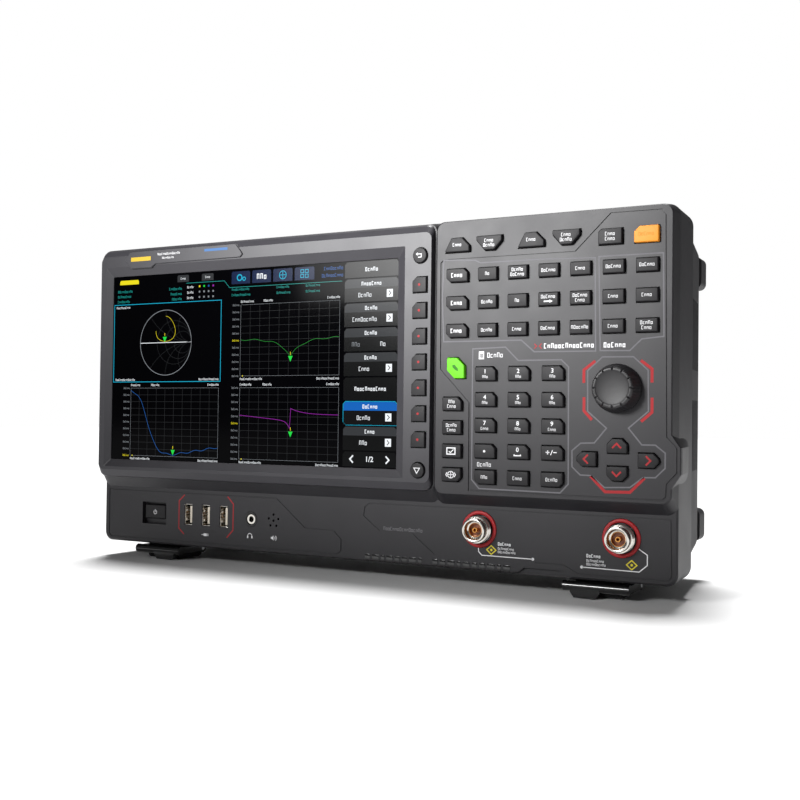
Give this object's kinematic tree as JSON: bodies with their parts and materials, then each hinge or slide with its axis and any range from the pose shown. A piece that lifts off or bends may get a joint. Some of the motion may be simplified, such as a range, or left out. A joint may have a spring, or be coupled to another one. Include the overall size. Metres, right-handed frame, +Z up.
{
  "type": "spectrum analyzer",
  "caption": "Bench spectrum analyzer: touch display, key field, tuning knob, two coaxial ports below, fold-out legs and a carry handle folded on top.",
  "frame": {"origin": "on the floor under the middle of the casing", "axes": "+X to the right seen from the front, +Y to the back, +Z up"},
  "size_m": [0.4074, 0.135, 0.224],
  "materials": {
    "casing": "fine matt moulded texture",
    "bezel": "satin grey paint",
    "badge": "satin",
    "glass": "gloss",
    "display": "dark display",
    "key": "fine matt",
    "key_orange": "satin",
    "key_green": "satin",
    "knob": "satin with dished face",
    "nickel": "bright nickel plate",
    "insulator": "brown insulator",
    "ring": "red ring",
    "steel": "zinc plated sheet",
    "module": "milled housing",
    "board": "solder mask",
    "silicone": "soft matt",
    "fan": "matt black",
    "cover": "matt moulded texture",
    "rubber": "matt rubber",
    "jack": "gloss black",
    "handle": "matt with fine texture"
  },
  "bodies": {
    "instrument": {"front_casing": "casing", "display_bezel": "bezel", "nameplate": "badge", "touch_glass": "glass", "lcd_panel": "display", "port_shells": "nickel", "port_cores": "insulator", "port_rings": "ring", "usb_sockets": "nickel", "headphone_jack": "jack", "speaker": "jack", "knob_encoder": "steel", "key_mat": "silicone", "key_boards": "board", "front_chassis": "steel", "main_board": "board", "heat_sink": "module", "rf_module": "module", "power_supply": "steel", "rear_cover": "cover", "fan_frame": "fan", "foot_blocks": "rubber", "hinge_pins": "steel", "rear_connectors": "nickel", "mains_inlet": "jack", "case_screws": "steel"},
    "tuning_knob": {"tuning_knob": "knob"},
    "fan_rotor": {"fan_rotor": "fan"},
    "carry_handle": {"carry_handle": "handle"},
    "leg_left": {"leg_left": "handle"},
    "leg_right": {"leg_right": "handle"},
    "power_button": {"power_button": "key"},
    "measure_keys_row_1": {"measure_keys_row_1": "key"},
    "measure_keys_row_2": {"measure_keys_row_2": "key"},
    "measure_keys_row_3": {"measure_keys_row_3": "key"},
    "system_keys_row_1": {"system_keys_row_1": "key"},
    "system_keys_row_2": {"system_keys_row_2": "key"},
    "system_keys_row_3": {"system_keys_row_3": "key"},
    "number_keys_row_1": {"number_keys_row_1": "key"},
    "number_keys_row_2": {"number_keys_row_2": "key"},
    "number_keys_row_3": {"number_keys_row_3": "key"},
    "number_keys_row_4": {"number_keys_row_4": "key"},
    "number_keys_row_5": {"number_keys_row_5": "key"},
    "side_keys": {"side_keys": "key"},
    "mode_keys": {"mode_keys": "key"},
    "preset_key": {"preset_key": "key_orange"},
    "user_key": {"user_key": "key_green"},
    "up_arrow_key": {"up_arrow_key": "key"},
    "down_arrow_key": {"down_arrow_key": "key"},
    "left_arrow_key": {"left_arrow_key": "key"},
    "right_arrow_key": {"right_arrow_key": "key"},
    "soft_key_1": {"soft_key_1": "key"},
    "soft_key_2": {"soft_key_2": "key"},
    "soft_key_3": {"soft_key_3": "key"},
    "soft_key_4": {"soft_key_4": "key"},
    "soft_key_5": {"soft_key_5": "key"},
    "soft_key_6": {"soft_key_6": "key"},
    "soft_key_7": {"soft_key_7": "key"},
    "return_key": {"return_key": "key"},
    "page_key": {"page_key": "key"}
  },
  "joints": [
    {"name": "tuning_knob_turn", "type": "hinge", "parent": "instrument", "child": "tuning_knob", "pos_m": [0.1712, -0.0567, 0.1166], "axis": [0, 1, 0], "continuous": true},
    {"name": "fan_rotor_spin", "type": "hinge", "parent": "instrument", "child": "fan_rotor", "pos_m": [-0.11, 0.0408, 0.15], "axis": [0, 1, 0], "continuous": true},
    {"name": "carry_handle_lift", "type": "hinge", "parent": "instrument", "child": "carry_handle", "pos_m": [0, -0.0047, 0.2197], "axis": [1, 0, 0], "range_deg": [0, 95]},
    {"name": "leg_left_fold", "type": "hinge", "parent": "instrument", "child": "leg_left", "pos_m": [-0.156, -0.0188, 0.0064], "axis": [1, 0, 0], "range_deg": [0, 75]},
    {"name": "leg_right_fold", "type": "hinge", "parent": "instrument", "child": "leg_right", "pos_m": [0.156, -0.0188, 0.0064], "axis": [1, 0, 0], "range_deg": [0, 75]},
    {"name": "power_button_press", "type": "slide", "parent": "instrument", "child": "power_button", "axis": [0, 1, 0], "range_m": [0, 0.0015], "stiffness_N_per_m": 900},
    {"name": "measure_keys_row_1_press", "type": "slide", "parent": "instrument", "child": "measure_keys_row_1", "axis": [0, 1, 0], "range_m": [0, 0.0012], "stiffness_N_per_m": 800},
    {"name": "measure_keys_row_2_press", "type": "slide", "parent": "instrument", "child": "measure_keys_row_2", "axis": [0, 1, 0], "range_m": [0, 0.0012], "stiffness_N_per_m": 800},
    {"name": "measure_keys_row_3_press", "type": "slide", "parent": "instrument", "child": "measure_keys_row_3", "axis": [0, 1, 0], "range_m": [0, 0.0012], "stiffness_N_per_m": 800},
    {"name": "system_keys_row_1_press", "type": "slide", "parent": "instrument", "child": "system_keys_row_1", "axis": [0, 1, 0], "range_m": [0, 0.0012], "stiffness_N_per_m": 800},
    {"name": "system_keys_row_2_press", "type": "slide", "parent": "instrument", "child": "system_keys_row_2", "axis": [0, 1, 0], "range_m": [0, 0.0012], "stiffness_N_per_m": 800},
    {"name": "system_keys_row_3_press", "type": "slide", "parent": "instrument", "child": "system_keys_row_3", "axis": [0, 1, 0], "range_m": [0, 0.0012], "stiffness_N_per_m": 800},
    {"name": "number_keys_row_1_press", "type": "slide", "parent": "instrument", "child": "number_keys_row_1", "axis": [0, 1, 0], "range_m": [0, 0.0012], "stiffness_N_per_m": 800},
    {"name": "number_keys_row_2_press", "type": "slide", "parent": "instrument", "child": "number_keys_row_2", "axis": [0, 1, 0], "range_m": [0, 0.0012], "stiffness_N_per_m": 800},
    {"name": "number_keys_row_3_press", "type": "slide", "parent": "instrument", "child": "number_keys_row_3", "axis": [0, 1, 0], "range_m": [0, 0.0012], "stiffness_N_per_m": 800},
    {"name": "number_keys_row_4_press", "type": "slide", "parent": "instrument", "child": "number_keys_row_4", "axis": [0, 1, 0], "range_m": [0, 0.0012], "stiffness_N_per_m": 800},
    {"name": "number_keys_row_5_press", "type": "slide", "parent": "instrument", "child": "number_keys_row_5", "axis": [0, 1, 0], "range_m": [0, 0.0012], "stiffness_N_per_m": 800},
    {"name": "side_keys_press", "type": "slide", "parent": "instrument", "child": "side_keys", "axis": [0, 1, 0], "range_m": [0, 0.0012], "stiffness_N_per_m": 800},
    {"name": "mode_keys_press", "type": "slide", "parent": "instrument", "child": "mode_keys", "axis": [0, 1, 0], "range_m": [0, 0.0012], "stiffness_N_per_m": 800},
    {"name": "preset_key_press", "type": "slide", "parent": "instrument", "child": "preset_key", "axis": [0, 1, 0], "range_m": [0, 0.0012], "stiffness_N_per_m": 800},
    {"name": "user_key_press", "type": "slide", "parent": "instrument", "child": "user_key", "axis": [0, 1, 0], "range_m": [0, 0.0012], "stiffness_N_per_m": 800},
    {"name": "up_arrow_key_press", "type": "slide", "parent": "instrument", "child": "up_arrow_key", "axis": [0, 1, 0], "range_m": [0, 0.0012], "stiffness_N_per_m": 800},
    {"name": "down_arrow_key_press", "type": "slide", "parent": "instrument", "child": "down_arrow_key", "axis": [0, 1, 0], "range_m": [0, 0.0012], "stiffness_N_per_m": 800},
    {"name": "left_arrow_key_press", "type": "slide", "parent": "instrument", "child": "left_arrow_key", "axis": [0, 1, 0], "range_m": [0, 0.0012], "stiffness_N_per_m": 800},
    {"name": "right_arrow_key_press", "type": "slide", "parent": "instrument", "child": "right_arrow_key", "axis": [0, 1, 0], "range_m": [0, 0.0012], "stiffness_N_per_m": 800},
    {"name": "soft_key_1_press", "type": "slide", "parent": "instrument", "child": "soft_key_1", "axis": [0, 1, 0], "range_m": [0, 0.0012], "stiffness_N_per_m": 800},
    {"name": "soft_key_2_press", "type": "slide", "parent": "instrument", "child": "soft_key_2", "axis": [0, 1, 0], "range_m": [0, 0.0012], "stiffness_N_per_m": 800},
    {"name": "soft_key_3_press", "type": "slide", "parent": "instrument", "child": "soft_key_3", "axis": [0, 1, 0], "range_m": [0, 0.0012], "stiffness_N_per_m": 800},
    {"name": "soft_key_4_press", "type": "slide", "parent": "instrument", "child": "soft_key_4", "axis": [0, 1, 0], "range_m": [0, 0.0012], "stiffness_N_per_m": 800},
    {"name": "soft_key_5_press", "type": "slide", "parent": "instrument", "child": "soft_key_5", "axis": [0, 1, 0], "range_m": [0, 0.0012], "stiffness_N_per_m": 800},
    {"name": "soft_key_6_press", "type": "slide", "parent": "instrument", "child": "soft_key_6", "axis": [0, 1, 0], "range_m": [0, 0.0012], "stiffness_N_per_m": 800},
    {"name": "soft_key_7_press", "type": "slide", "parent": "instrument", "child": "soft_key_7", "axis": [0, 1, 0], "range_m": [0, 0.0012], "stiffness_N_per_m": 800},
    {"name": "return_key_press", "type": "slide", "parent": "instrument", "child": "return_key", "axis": [0, 1, 0], "range_m": [0, 0.0012], "stiffness_N_per_m": 800},
    {"name": "page_key_press", "type": "slide", "parent": "instrument", "child": "page_key", "axis": [0, 1, 0], "range_m": [0, 0.0012], "stiffness_N_per_m": 800}
  ]
}
